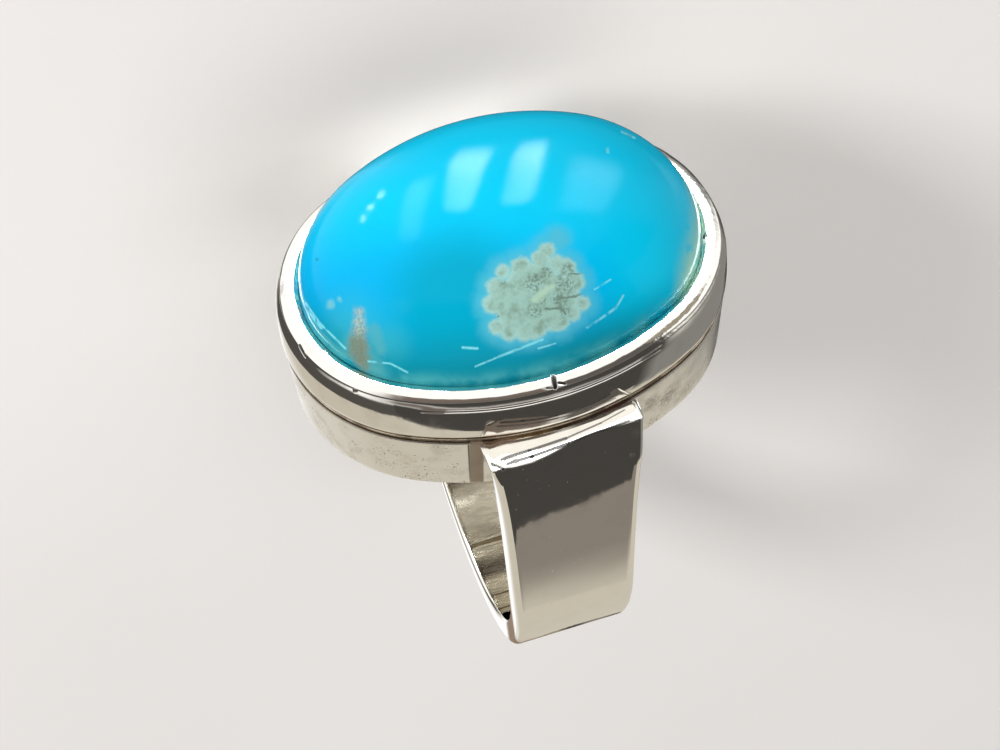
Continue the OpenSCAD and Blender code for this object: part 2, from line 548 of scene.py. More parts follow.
# The band: a mirror polish, with bits of brown dirt on the ledge and two dark lines along its rounded edge that
# are painted reflection
POLISH = SilverFinish(
    "polished_band_silver", roughness=0.012, dull_roughness=0.03, wave_depth=0.0004, tick_depth=0.00004,
    brush_depth=0.00004, nick_share=0.15, haze_share=0.1,
    seam_dirt=(
        SeamDirt("#8C713E", 0.9, -4.3, 0.6, -0.04, 0.1), SeamDirt("#4E3B28", 0.9, -0.5, 4.3, -0.02, 0.1),
        SeamDirt("#5A3524", 0.7, 2.2, 3.9, 0.06, 0.14), SeamDirt("#B99C8A", 0.6, -4.3, -2.4, 0.1, 0.3)),
    stains=(
        Stain("#4A443F", 0.95, 0.05, 0.06, (-4.05, -10.3, 13.42), (-3.6, -10.72, 13.25), 0.03),
        # Two dark lines along the ledge's rounded edge: painted reflection
        *trail((-3.5, -10.22, 13.45), ((-2.0, -10.2, 13.45), "#6E6B68", 0.07),
               ((0.0, -10.12, 13.46), "#5E5B58", 0.06), ((2.0, -9.84, 13.5), "#77736F", 0.03),
               ((3.4, -9.5, 13.55), "#8B8783", 0.015)),
        *trail((-3.3, -10.56, 13.43), ((-2.0, -10.58, 13.43), DARK, 0.08), ((0.0, -10.45, 13.45), DARK, 0.08),
               ((3.4, -10.16, 13.46), "#4A4744", 0.06)),
        Stain(DIRT, 0.9, 0.05, 0.06, (4.2, -9.0, 13.5), (4.25, -10.2, 13.3)),
        Stain(DIRT, 0.9, 0.05, 0.06, (4.25, -10.25, 13.3), (4.1, -10.8, 11.3)),
        Stain(WHITE, 0.6, 0.1, 0.35, (3.7, -10.6, 12.7), patchy=True),
        Stain(WHITE, 0.8, 0.08, 0.2, (3.3, -10.85, 11.4), patchy=True),
        Stain(WHITE, 0.9, 0.01, 0.04, (2.75, -10.7, 12.6), (3.8, -10.5, 13.1), 0.02)))

# The gallery: satin from fine pits, with a strip of pale solder left of the leg and brown smears right of it
SATIN = SilverFinish(
    "satin_gallery_silver", roughness=0.2, dull_roughness=0.3, pit_size=0.1, pit_share=0.55, dirt_above=13.36,
    haze="#CFC6B4", brush=(1.5, 1.5, 0.06), brush_depth=0.0003, tick_depth=0.0003,
    stains=(
        Stain("#D2C2B0", 1.0, 0.3, 0.1, (-4.38, -8.68, 13.2), (-4.45, -8.4, 9.6)),
        Stain("#6A5D50", 0.8, 0.02, 0.05, (-4.78, -8.6, 13.2), (-4.8, -8.3, 9.6)),
        Stain("#A08A72", 0.4, 0.25, 0.6, (5.2, -8.2, 11.9), patchy=True),
        Stain("#A89682", 0.4, 0.3, 0.9, (6.4, -7.7, 11.3), patchy=True),
        Stain("#A89682", 0.35, 0.2, 0.8, (7.6, -7.0, 10.4), patchy=True)))

# The bezel: burnished over the stone's edge, with nicks in the lip and a hammered stretch below it
BEZEL = SilverFinish(
    "burnished_bezel_silver", roughness=0.05, dull_roughness=0.11, brush=(1.0, 1.0, 0.04), hammered=0.028,
    stains=(
        Stain(WHITE, 1.0, 0.13, 0.1, (-10.95, 0.6, 16.72), (-10.3, -3.0, 16.68)),
        *trail((10.6, 2.2, 16.7), ((10.86, 0.0, 16.7), WHITE, 0.16), ((10.3, -2.8, 16.7), WHITE, 0.16),
               ((8.9, -4.95, 16.68), WHITE, 0.16), strength=1.0, soft=0.1),
        Stain("#3C3A38", 1.0, 0.07, 0.1, (-0.05, -8.62, 16.9), (-0.12, -9.2, 16.55), 0.08),
        Stain("#3C3A38", 1.0, 0.05, 0.07, (0.12, -9.05, 16.7), (0.42, -9.16, 16.6), 0.05),
        Stain("#5A5653", 0.9, 0.03, 0.06, (-0.55, -9.1, 16.62), (-0.15, -9.2, 16.55), 0.03),
        Stain("#7B7875", 1.0, 0.06, 0.08, (-11.55, -1.9, 16.5), (-11.4, -2.5, 16.35), 0.05),
        Stain("#8E8884", 0.8, 0.01, 0.05, (-10.95, 0.4, 16.8), (-10.3, -3.0, 16.75)),
        Stain("#8E8884", 0.9, 0.01, 0.05, (-10.3, -3.0, 16.75), (-7.9, -6.3, 16.7)),
        Stain("#A79A95", 0.8, 0.1, 0.2, (-10.85, 0.3, 16.8), (-10.7, -0.6, 16.8), patchy=True),
        Stain("#B9A9A2", 0.7, 0.3, 0.5, (-11.1, 2.0, 16.85), patchy=True),
        Stain("#55524F", 1.0, 0.1, 0.1, (-9.76, -5.64, 16.36), depth=0.05, patchy=True),
        Stain("#55524F", 1.0, 0.12, 0.1, (10.43, -2.47, 16.74), depth=0.06, patchy=True)))

# Solder that was left rough: dark and dirty in the groove, browner beside the legs
GROOVE = SilverFinish("dirty_solder", roughness=0.25, dull_roughness=0.4, haze="#6E5A42", haze_share=0.8,
                      colour="#CDBFA8", pit_share=0.5)
SOLDER = SilverFinish("brown_solder", roughness=0.3, dull_roughness=0.45, colour="#C2B4A0", haze="#8A745C",
                      haze_share=0.7, pit_share=0.8)
PLATE = SilverFinish("plain_plate_silver", roughness=0.25, dull_roughness=0.4)


@dataclass(frozen=True)
class TurquoiseFinish:
    """Turquoise, cut as a dome and polished to a waxy gloss.

    The blue is deep and even with the host rock left in it: one pale, scalloped patch with dark grains, a
    brown drop at one end and a greener lower rim. Painted light and shade lie over the blue: lighter towards
    the top, the right end and by the lip, darker left of the middle and along the lower rim. Pale scratches and
    a tiny pit come from wear.
    """

    name: str = "polished_turquoise"
    azure: str = "#00A2D8"
    # Several of these blues also carry painted light and shade: lighter towards the top, the right end and by the
    # lip, darker left of the middle and along the lower rim
    cyan_and_painted_light: str = "#00C2EA"
    right_blue_and_painted_light: str = "#00C0E2"
    left_blue_and_painted_shade: str = "#0098B4"
    teal_and_painted_shade: str = "#0C8294"
    low_edge_painted_light: str = "#4AA6AC"
    green_haze: str = "#3AA6AC"
    rim_cream_and_painted_light: str = "#A8D4B8"
    patch_pale: str = "#8EB2A8"
    patch_green: str = "#789688"
    patch_edge: str = "#98C2BC"
    patch_grain: str = "#56695F"
    patch_vein: str = "#A6C6AE"
    halo: str = "#50AEC4"
    streak: str = "#727E6C"
    streak_pink: str = "#9DB0A8"
    streak_dark: str = "#66705F"
    streak_side: str = "#4F9CA2"
    fleck: str = "#6FB4BC"
    scratch: str = "#7CD2DE"
    pit: str = "#0E7F9C"
    roughness: float = 0.11
    patch_centre: Point3 = (0.057, -6.272, 20.814)
    # Round lobes of the pale patch: right, up and radius, from its centre
    lobes: tuple[Point3, ...] = (
        (0.5, 2.1, 0.42), (0.2, 1.65, 0.52), (-0.8, 1.22, 0.55), (-1.7, 1.0, 0.38), (-2.04, 0.25, 0.5),
        (-2.22, -0.6, 0.52), (-2.0, -1.75, 0.42), (-1.35, -1.95, 0.5), (-0.6, -1.97, 0.5),
        (-0.1, -1.75, 0.62), (1.1, -1.45, 0.55), (2.28, -0.56, 0.38), (1.8, -1.0, 0.45), (1.88, 0.52, 0.55),
        (1.45, 1.2, 0.52), (0.95, 1.42, 0.42), (-0.1, -0.15, 1.65), (1.03, -0.15, 1.15), (-1.25, -0.4, 1.1),
        (-1.2, -1.3, 0.75), (0.5, -1.2, 0.8))
    # Clusters of dark grains in the patch
    grains: tuple[Point3, ...] = (
        (-0.1, 0.45, 0.42), (0.52, 1.0, 0.22), (1.4, 0.4, 0.42), (1.2, -0.35, 0.35), (1.45, -0.95, 0.24),
        (-1.7, 0.4, 0.16), (-1.95, -1.2, 0.14), (-0.1, -0.95, 0.3), (1.55, 1.1, 0.26), (0.35, -0.4, 0.2))
    # Dark cracks in the patch: start, end, half width and soft edge
    cracks: tuple[tuple[Point2, Point2, float, float], ...] = (
        ((1.0, -0.35), (2.5, -0.05), 0.02, 0.07), ((0.45, -0.85), (1.2, -0.75), 0.02, 0.06),
        ((1.2, -0.75), (1.45, -1.05), 0.04, 0.09), ((1.7, 0.95), (2.4, 0.98), 0.02, 0.05))
    # Balls of the brown drop, from its narrow top down
    drop: tuple[Point3, ...] = (
        (-8.96, -1.0, 0.2), (-8.97, -1.45, 0.26), (-8.97, -1.96, 0.34), (-9.03, -2.46, 0.44),
        (-9.04, -2.86, 0.48), (-8.9, -3.32, 0.36), (-8.76, -3.67, 0.22))
    # Scratches: start right, start up, end right, end up, half width
    scratches: tuple[tuple[float, float, float, float, float], ...] = (
        (-3.1, -3.73, -1.89, -3.23, 0.012), (-1.89, -3.23, 0.28, -2.37, 0.022),
        (2.56, -1.76, 3.32, -1.25, 0.02), (3.32, -1.25, 4.04, -0.74, 0.022),
        (4.04, -0.74, 4.39, -0.13, 0.016), (2.9, 0.15, 3.72, 0.66, 0.012),
        (0.08, -2.82, 0.94, -2.57, 0.012), (-3.74, -2.78, -2.99, -2.83, 0.022),
        (-11.91, -0.42, -11.06, -1.52, 0.02), (-11.7, -0.9, -11.0, -1.75, 0.03),
        (-11.06, -1.52, -9.73, -2.81, 0.018), (-8.54, -3.47, -7.4, -3.58, 0.015),
        (-7.4, -3.58, -6.54, -4.03, 0.015), (4.52, 8.53, 5.15, 8.22, 0.03), (3.67, 7.49, 3.69, 7.3, 0.03))

    def union(self, skin: Skin, flat: Socket, balls: Sequence[Point3], blend: float) -> Socket:
        """Distance to the outline of several discs that melt together.

        Args:
            skin: the material.
            flat: place on the face, with no depth.
            balls: right, up and radius of each disc.
            blend: how far the discs melt into each other.

        Returns:
            The distance, negative inside.
        """
        result = None
        for x, y, radius in balls:
            away = skin.add("VectorMath DISTANCE", flat, (x, y, 0), out=1)
            away = skin.add("Math SUBTRACT", away, radius)
            result = away if result is None else skin.add("Math SMOOTH_MIN", result, away, blend)
        return result

    def ground(self, skin: Skin, ring: Socket, face: Socket) -> None:
        """Lays the blue of the stone, from azure in the middle to teal along the lower rim, with painted light and
        shade laid into it.

        Args:
            skin: the material.
            ring: place in the ring's frame.
            face: place on the face.
        """
        right, up, _ = skin.add("SeparateXYZ", face).node.outputs
        height = skin.add("SeparateXYZ", ring, out=2)
        top_light_drift = skin.add("Math MULTIPLY_ADD", skin.grain(ring, 4.5, 2.0, 21.0), 2.0, up)
        lip_light_patches = skin.mask((skin.grain(ring, 1.4, 3.0, 23.0), 0.66, 0.34))
        rim_light_patches = skin.mask((skin.grain(ring, 0.9, 3.0, 22.0), 0.5, 0.2))
        haze = skin.mask(skin.spot(face, (-10.41, -2.09, 0), 0.6, 3.2),
                         skin.spot(face, (-7.8, -2.87, 0), 0.3, 1.8), join="MAXIMUM")
        for colour, *parts in (
                # Cyan towards the top: partly the stone's own colour, partly painted light from above
                (self.cyan_and_painted_light, (top_light_drift, 6.5, 0.5)),
                # A darker blue left of the middle: painted shade against the left lamp's light
                (self.left_blue_and_painted_shade, skin.spot(face, (-3.9, -0.8, 0), 1.6, 3.6), 0.85),
                # Cyan and a brighter blue towards the right end: painted light on the side that the lamps leave
                # dimmer
                (self.cyan_and_painted_light, (right, 7.5, 3.0), 0.8),
                (self.right_blue_and_painted_light, (right, 6.5, 1.0), (up, 0.5, 8.0), 0.85),
                # Teal along the lower rim: the stone's greener tone with painted shade in it
                (self.teal_and_painted_shade, (height, 17.0, 21.2), (up, -3.0, 1.4)),
                # A paler edge low by the lip: painted light that the lip throws on the stone
                (self.low_edge_painted_light, (height, 16.7, 17.9), lip_light_patches, 0.9),
                (self.green_haze, haze, 0.6),
                # Cream on the right rim: a cream tint with painted light from the lip
                (self.rim_cream_and_painted_light, (height, 17.4, 19.4), (right, 8.0, 6.8), rim_light_patches, 0.8)):
            skin.coat(colour, *parts)

    def patch(self, skin: Skin, ring: Socket, flat: Socket, specks: Socket) -> Socket:
        """Lays the pale patch, with its grains, cracks and halo, and returns its mask.

        Args:
            skin: the material.
            ring: place in the ring's frame.
            flat: place on the face, with no depth.
            specks: the host rock's dark grain.

        Returns:
            Where the patch lies.
        """
        here = skin.spot(ring, self.patch_centre, 4.2, 1.2)
        edge = self.union(skin, flat, self.lobes, 0.12)
        halo = skin.mask((edge, -0.1, 0.85), skin.spot(flat, (1.03, 2.66, 0), 0.2, 0.9), join="MAXIMUM")
        skin.coat(self.halo, halo, here, 0.8)
        blotch = skin.mask((skin.grain(ring, 0.5, 4.0, 31.0), 0.72, 0.42))
        dark = skin.mask(*[skin.spot(flat, (x, y, 0), r * 0.7, r) for x, y, r in self.grains], join="MAXIMUM")
        fine = skin.mask((skin.grain(ring, 0.12, 2.0, 33.0), 0.68, 0.56), 0.22)
        cracks = skin.mask(*[skin.stroke(flat, *crack) for crack in self.cracks], join="MAXIMUM")
        marks = skin.mask(skin.mask(specks, dark, 0.6), skin.mask(cracks, 0.75), fine, join="MAXIMUM")
        vein = skin.mask(skin.stroke(flat, (-0.1, -0.4), (0.75, 0.3), 0.02, 0.26), 0.7)
        rock = skin.layers(self.patch_pale, (self.patch_green, blotch),
                           (self.patch_edge, skin.mask((edge, -0.02, -0.34), 0.8)),
                           (self.patch_grain, marks), (self.patch_vein, vein))
        return skin.coat(rock, (edge, -0.14, 0.13), here)

    def streaks(self, skin: Skin, ring: Socket, face: Socket, flat: Socket,
                specks: Socket) -> tuple[Socket, Socket]:
        """Lays the brown drop at the left end and the two flecks beside it.

        Args:
            skin: the material.
            ring: place in the ring's frame.
            face: place on the face.
            flat: the same with no depth.
            specks: the host rock's dark grain.

        Returns:
            Where the drop lies, and the mask of that end of the stone.
        """
        left = skin.mask((skin.add("SeparateXYZ", ring), -7.0, -6.0))
        body = skin.mask((self.union(skin, flat, self.drop, 0.2), -0.25, 0.3), left)
        beside = skin.mask(skin.stroke(flat, (-8.19, -1.86), (-7.9, -2.9), 0.1, 0.4),
                           skin.stroke(flat, (-9.3, -2.6), (-8.3, -3.7), 0.3, 0.5), join="MAXIMUM")
        skin.coat(self.streak_side, beside, left, 0.6)
        tint = skin.layers(self.streak, (self.streak_pink, skin.spot(face, (-8.95, -1.1, -1.4), 0.5, 1.0)),
                           (self.streak_dark, skin.mask(specks, 0.55)))
        skin.coat(tint, body, 0.92)
        flecks = skin.mask(skin.spot(flat, (-10.49, -0.57, 0), 0.08, 0.28),
                           skin.spot(flat, (-10.01, -0.32, 0), 0.03, 0.18), join="MAXIMUM")
        skin.coat(self.fleck, flecks, left, 0.7)
        return body, left

    def build(self) -> Material:
        """Makes the material."""
        skin = Skin(self.name, self.azure, self.roughness)
        ring = skin.ring_place()
        # Millimetres right, up and towards the viewer from the patch's middle: they turn with the stone
        turn = Matrix(VIEW.axes())
        face = skin.add("Mapping", ring, -(turn @ Vector(self.patch_centre)), turn.to_euler())
        wobble = skin.add("TexNoise", ring, None, 2.6, 2.5, out="Color")
        wobble = skin.add("VectorMath SUBTRACT", wobble, (0.5, 0.5, 0.5))
        moved = skin.add("VectorMath MULTIPLY_ADD", wobble, (0.3, 0.3, 0.3), face)
        flat, still = (skin.add("VectorMath MULTIPLY", place, (1, 1, 0)) for place in (moved, face))
        specks = skin.mask((skin.grain(ring, 0.14, 3.0, 32.0), 0.56, 0.46))
        self.ground(skin, ring, face)
        inside = self.patch(skin, ring, flat, specks)
        body, left = self.streaks(skin, ring, face, flat, specks)

        worn = skin.mask((skin.grain(ring, 0.45, 3.0, 41.0), 0.55, 0.3))
        lines = skin.mask(*[skin.stroke(still, (a, b), (c, d), w * 1.3, w * 1.3 + 0.04)
                            for a, b, c, d, w in self.scratches], join="MAXIMUM")
        lines = skin.mask(lines, worn, (skin.add("SeparateXYZ", face, out=2), -7.0, -8.5))
        pit = skin.mask(skin.spot(flat, (-11.23, 1.77, 0), 0.07, 0.05), left)
        skin.coat(self.scratch, lines, 0.75)
        skin.coat(self.pit, pit, 0.6)
        skin.roughen(skin.mask(inside, body, join="MAXIMUM"), 0.2)
        skin.roughen(lines, 0.2)
        skin.sink(skin.mask(lines, pit, join="MAXIMUM"), 0.008)
        skin.raise_by(skin.grain(ring, 1.3, 1.0, 42.0), 0.0008)
        return skin.finish(IOR=1.61, Specular_IOR_Level=0.05)


# Mesh helpers


def signed_volume(mesh: Mesh) -> float:
    """Volume of a closed mesh.

    Args:
        mesh: the mesh.

    Returns:
        The volume, positive where the faces point outwards.
    """
    total = 0.0
    for face in mesh.polygons:
        points = [mesh.vertices[i].co for i in face.vertices]
        for k in range(1, len(points) - 1):
            total += points[0].dot(points[k].cross(points[k + 1])) / 6
    return total


def place_piece(name: str, mesh: Mesh, material: Material, crease: float = 40.0, node: Node = Node.MOUNT) -> Thing:
    """Turns a closed mesh in ring mm into a finished piece of the object.

    Args:
        name: the piece's name.
        mesh: its mesh, in the ring's frame.
        material: its finish.
        crease: angle in degrees past which an edge stays sharp.
        node: the solid that it stands for.

    Returns:
        The piece, at the origin, with its place in its mesh.
    """
    if signed_volume(mesh) < 0:
        mesh.flip_normals()
    mesh.transform(POSE.matrix())
    mesh.materials.clear()
    mesh.materials.append(material)
    mesh.polygons.foreach_set("use_smooth", [True] * len(mesh.polygons))
    mesh.set_sharp_from_angle(angle=math.radians(crease))
    mesh.update()
    mesh.name = name
    piece = put(name, mesh)
    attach(piece, "root")
    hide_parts(node.value)
    LOG.info("%s: %d faces", name, len(mesh.polygons))
    return piece


def ring_mesh(rings: Sequence[Sequence[Point3]], closing: Sequence[tuple[int, ...]] | None = None,
              extra: Sequence[Point3] = ()) -> Mesh:
    """Joins closed rings of as many points each into one skin.

    Args:
        rings: the rings, in order.
        closing: the faces that close the skin; without them the first and last ring are filled.
        extra: points behind those of the rings.

    Returns:
        The mesh.
    """
    count, total = len(rings[0]), len(rings)
    faces = []
    for j in range(total - 1):
        for i in range(count):
            k = (i + 1) % count
            faces.append((j * count + i, j * count + k, (j + 1) * count + k, (j + 1) * count + i))
    if closing is None:
        closing = [tuple(reversed(range(count))), tuple(range((total - 1) * count, total * count))]
    mesh = bpy.data.meshes.new("skin")
    mesh.from_pydata([tuple(p) for ring in rings for p in ring] + list(extra), [], faces + list(closing))
    return mesh


def closed_line(name: str, points: Sequence[Point3]) -> Thing:
    """A closed line of edges.

    Args:
        name: its name.
        points: its points, in order.

    Returns:
        An object with the line.
    """
    count = len(points)
    mesh = bpy.data.meshes.new(name)
    mesh.from_pydata(points, [(i, (i + 1) % count) for i in range(count)], [])
    return put(name, mesh)


def ramp(value: float, none: float, full: float) -> float:
    """A smooth step from 0 at one value to 1 at another."""
    t = min(max((value - none) / (full - none), 0.0), 1.0)
    return t * t * (3 - 2 * t)


def rounded(corners: Sequence[tuple[float, ...]]) -> list[tuple[float, ...]]:
    """Cuts the corners of a closed section, so that its edges catch the light softly.

    Args:
        corners: the section's corners, with as many numbers each.

    Returns:
        The finer section.
    """
    result = []
    for corner, following in zip(corners, [*corners[1:], corners[0]]):
        for share in (0.75, 0.25):
            result.append(tuple(a * share + b * (1 - share) for a, b in zip(corner, following)))
    return result


class WallTree(Net):
    """The node tree that sweeps a wall's section round the oval and leaves it a little uneven by hand."""

    def __init__(self) -> None:
        """Builds the tree once."""
        super().__init__(bpy.data.node_groups.new("wall_round_the_oval", "GeometryNodeTree"))
        kinds = {"Path": "Geometry", "Section": "Object", "Unevenness": "Float", "Wave size": "Float",
                 "Press": "Float", "Seed": "Float", "Finish": "Material"}
        make = self.tree.interface.new_socket
        self.inputs = {name: make(name=name, in_out="INPUT", socket_type="NodeSocket" + kind).identifier
                       for name, kind in kinds.items()}
        make(name="Wall", in_out="OUTPUT", socket_type="NodeSocketGeometry")
        given = self.add("NodeGroupInput").node.outputs
        path = self.add("GeometryNodeMeshToCurve", given["Path"])
        path = self.add("GeometryNodeSetCurveNormal", path, mode="Z_UP")
        section = self.add("GeometryNodeObjectInfo", given["Section"], out="Geometry")
        section = self.add("GeometryNodeMeshToCurve", section)
        wall = self.add("GeometryNodeCurveToMesh", path, section)
        place, seed = self.add("GeometryNodeInputPosition"), given["Seed"]
        free, sink = (self.add("GeometryNodeInputNamedAttribute", name, data_type="FLOAT")
                      for name in ("free", "sink"))
        scale = self.add("Math DIVIDE", 1.0, given["Wave size"])
        wave = self.add("TexNoise", place, seed, scale, 1.5, noise_dimensions="4D")
        wave = self.mask(self.add("Math SUBTRACT", wave, 1.0), given["Unevenness"], free)
        shift = self.add("VectorMath SCALE", self.add("GeometryNodeInputNormal"), inputs={"Scale": wave})
        press = self.add("TexNoise", place, seed, 0.5, 2.0, noise_dimensions="4D")
        down = self.add("CombineXYZ", None, None, self.mask(press, given["Press"], sink, -1.0))
        shift = self.add("VectorMath ADD", shift, down)
        wall = self.add("GeometryNodeSetPosition", wall, inputs={"Offset": shift})
        wall = self.add("GeometryNodeRealizeInstances", wall)
        wall = self.add("GeometryNodeSetMaterial", wall, inputs={"Material": given["Finish"]})
        self.add("NodeGroupOutput", wall)

    def sweep(self, name: str, section: Sequence[tuple[float, ...]], finish: Material, hand: dict[str, float],
              steps: int = 540) -> Mesh:
        """Sweeps one section and returns the finished mesh.

        Args:
            name: the piece's name.
            section: distance from the outside face and height of each corner, and where they are given, how
                free it is to move by hand (else 1) and to be pressed down (else 0).
            finish: the material.
            hand: most that a corner moves inwards and is pressed down, size of the waves and their seed.
            steps: points round the oval.

        Returns:
            The plain mesh, in ring mm.
        """
        corners = [(*corner, 1.0, 0.0)[:4] for corner in section]
        path = closed_line(name + "_path", [(x, y, 0) for x, y in OVAL.points(steps)])
        outline = closed_line(name + "_section", [(u, -z, 0) for u, z, _, _ in corners])
        for column, attribute in ((2, "free"), (3, "sink")):
            layer = outline.data.attributes.new(attribute, "FLOAT", "POINT")
            layer.data.foreach_set("value", [corner[column] for corner in corners])
        modifier = path.modifiers.new("wall", "NODES")
        modifier.node_group = self.tree
        for key, value in {"Section": outline, "Finish": finish, **hand}.items():
            modifier[self.inputs[key]] = value
        path.update_tag()
        graph = bpy.context.evaluated_depsgraph_get()
        mesh = bpy.data.meshes.new_from_object(path.evaluated_get(graph))
        path.modifiers.remove(modifier)
        for helper in (path, outline):
            bpy.data.objects.remove(helper)
        return mesh


# The ring's pieces


@dataclass
class Setting:
    """The oval setting: gallery, back plate, seam and rolled bezel."""

    walls: WallTree
    gallery_z: float = 9.47
    # The bead of solder in the groove: distance from the outside face, height and half sizes
    bead: Four = (-0.25, 13.6, 0.075, 0.05)
    bead_corners: int = 10
    plate_z: Point2 = (13.0, 14.0)
    plate_inset: float = -1.0
    plate_wave: float = 0.05
    plate_steps: tuple[int, int] = (160, 12)
    # The crown of the rolled lip: distance from the outside face, height of its top and radius
    crown: Point3 = (-0.95, 16.87, 0.72)
    crown_angles: tuple[int, ...] = (32, 42, 52, 62, 72, 82, 90, 98, 107)
    # Where the ridges below the crown run out along the finger, on the near side, and over which length
    ridge_ends: Point2 = (-6.4, 5.6)
    ridge_fade: float = 1.2

    def make_gallery(self) -> Thing:
        """The open lower wall, satin outside, with its lower edge a little worn."""
        low, finish = self.gallery_z, SATIN.build()
        section = rounded([
            (-0.52, 13.72), (-0.43, 13.62), (-0.37, 13.47), (-0.24, 13.415), (-0.165, 13.385),
            (-0.145, 13.33), (-0.15, 13.2), (-0.2, 12.6), (-0.3, 11.4), (-0.42, 10.0), (-0.46, low + 0.16),
            (-0.5, low + 0.05), (-0.6, low + 0.002), (-0.95, low + 0.001), (-1.3, low + 0.002),
            (-1.39, low + 0.05), (-1.41, low + 0.16), (-1.3, 11.0), (-1.12, 13.2), (-1.1, 13.72)])
        hand = {"Unevenness": 0.03, "Wave size": 3.0, "Seed": 4.0}
        return place_piece("gallery", self.walls.sweep("gallery", section, finish, hand), finish)

    def make_seam(self) -> Thing:
        """The thin bead of solder that shows in the groove between the two walls."""
        u, z, wide, high = self.bead
        angles = [2 * math.pi * i / self.bead_corners for i in range(self.bead_corners)]
        section, finish = [(u + wide * math.cos(a), z + high * math.sin(a)) for a in angles], GROOVE.build()
        hand = {"Unevenness": 0.06, "Wave size": 0.9, "Seed": 9.0}
        return place_piece("solder_seam", self.walls.sweep("solder_seam", section, finish, hand), finish, 80)

    def bezel_line(self, ridged: bool) -> list[Four]:
        """The bezel's section.

        Args:
            ridged: whether the two fine ridges below the crown are there.

        Returns:
            Distance from the outside face, height, and how free each corner is to move and to sink.
        """
        line = [
            (-0.42, 13.63, 0.2, 0), (-0.4, 13.78, 0.2, 0), (-0.24, 13.85, 0.4, 0), (-0.115, 13.91, 0.5, 0),
            (-0.07, 14.0, 0.6, 0), (-0.055, 14.22, 0.6, 0), (-0.045, 14.42, 0.6, 0), (-0.042, 14.6, 0.6, 0),
            (-0.044, 14.8, 0.6, 0), (-0.05, 15.1, 0.6, 0)]
        line += [
            (-0.06, 15.4, 0.6, 0), (-0.075, 15.7, 0.6, 0), (-0.085, 15.86, 0.6, 0), (-0.1, 15.93, 0.7, 0.1),
            (-0.12, 15.96, 0.8, 0.2), (-0.155, 15.975, 0.8, 0.25), (-0.168, 16.0, 0.8, 0.3),
            (-0.175, 16.055, 0.8, 0.3), (-0.19, 16.075, 0.9, 0.35), (-0.21, 16.085, 0.9, 0.4),
            (-0.22, 16.11, 0.9, 0.5), (-0.33, 16.4, 0.8, 0.7),
        ] if ridged else [
            (-0.058, 15.35, 0.6, 0), (-0.068, 15.58, 0.6, 0), (-0.085, 15.7, 0.7, 0), (-0.1, 15.78, 0.7, 0.1),
            (-0.12, 15.86, 0.8, 0.2), (-0.14, 15.93, 0.8, 0.25), (-0.16, 16.0, 0.8, 0.3),
            (-0.18, 16.06, 0.8, 0.3), (-0.2, 16.12, 0.9, 0.35), (-0.225, 16.19, 0.9, 0.4),
            (-0.26, 16.28, 0.9, 0.5), (-0.34, 16.47, 0.8, 0.7)]
        u, top, radius = self.crown
        for a in map(math.radians, self.crown_angles):
            line.append((u + radius * math.cos(a), top - radius + radius * math.sin(a), 0.8, 1.0))
        return line + [
            (-1.24, 16.725, 0.5, 1), (-1.3, 16.68, 0.3, 0.9), (-1.335, 16.62, 0.1, 0.7),
            (-1.33, 16.5, 0.1, 0.5), (-1.2, 16.1, 0, 0), (-1.05, 15.5, 0, 0), (-0.93, 15.0, 0, 0),
            (-0.92, 14.2, 0, 0), (-0.92, 13.7, 0, 0), (-0.7, 13.6, 0, 0)]

    def make_bezel(self) -> Thing:
        """The upper wall, whose lip is pressed over the stone, with two fine ridges below it in front."""
        finish = BEZEL.build()
        hand = {"Unevenness": 0.03, "Wave size": 2.6, "Press": 0.12, "Seed": 2.0}
        mesh, plain = (self.walls.sweep("bezel", rounded(self.bezel_line(ridged)), finish, hand, 620)
                       for ridged in (True, False))
        (left, right), end = self.ridge_ends, self.ridge_fade
        for vertex, other in zip(mesh.vertices, plain.vertices):
            x, y = vertex.co.x, vertex.co.y
            share = ramp(x, left - end, left + end) * ramp(x, right + end, right - end) * ramp(y, 0.0, -1.0)
            vertex.co = other.co.lerp(vertex.co, share)
        return place_piece("bezel", mesh, finish, 60)

    def make_plate(self) -> Thing:
        """The plate that closes the setting under the stone, seen only from inside the finger hole."""
        steps, count = self.plate_steps
        rings = []
        for level, (z, sign) in enumerate(zip(self.plate_z, (1, -1))):
            for k in range(count + 1):
                share = (count - k if level else k) / count
                size = max(share, 0.01)
                ring = []
                for x, y in OVAL.points(steps, self.plate_inset):
                    wave = noise.noise(Vector((x * share * 0.5, y * share * 0.5, 3.0 + level)))
                    ring.append((x * size, y * size, z + sign * abs(self.plate_wave * wave)))
                rings.append(ring)
        return place_piece("back_plate", ring_mesh(rings), PLATE.build())

    def build(self) -> list[Thing]:
        """Makes the four pieces."""
        return [self.make_gallery(), self.make_seam(), self.make_bezel(), self.make_plate()]


